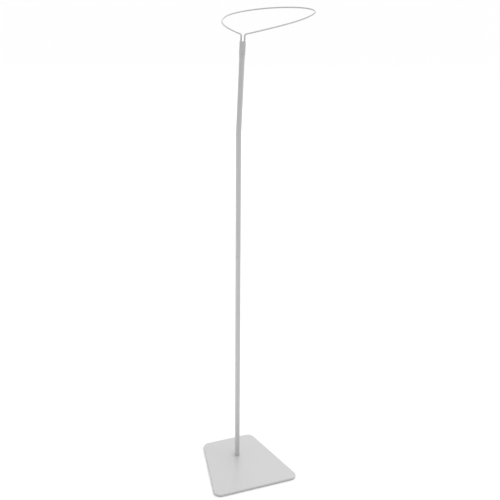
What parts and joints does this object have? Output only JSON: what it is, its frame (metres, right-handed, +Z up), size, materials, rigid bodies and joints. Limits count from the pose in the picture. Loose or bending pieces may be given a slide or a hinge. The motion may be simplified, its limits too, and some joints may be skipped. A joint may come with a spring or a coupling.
{
  "type": "hoop-top pole display stand",
  "caption": "Free-standing display stand: trapezoid foot plate, thin tube pole with a slight bend, and a teardrop wire hoop that swivels on the pole.",
  "frame": {"origin": "on the floor under the middle of the foot plate, in the flat underside of its rubber underlay", "axes": "+Z up along the pole, +Y towards the plate's narrow back edge, +X to the right when looking along +Y"},
  "size_m": [0.496, 0.6049, 1.461],
  "materials": {
    "powder_white": "satin pale grey-white powder coat with a fine grain",
    "black_rubber": "matt",
    "zinc_steel": "bright zinc plating"
  },
  "bodies": {
    "stand": {"base_plate": "powder_white", "rubber_underlay": "black_rubber", "base_screw": "zinc_steel", "threaded_insert": "zinc_steel", "lower_pole": "powder_white", "spigot": "zinc_steel"},
    "mast": {"upper_pole": "powder_white", "hoop": "powder_white"}
  },
  "joints": [
    {"name": "mast_swivel", "type": "hinge", "parent": "stand", "child": "mast", "pos_m": [0, 0.044, 0.7563], "axis": [0, 0, 1], "continuous": true}
  ]
}
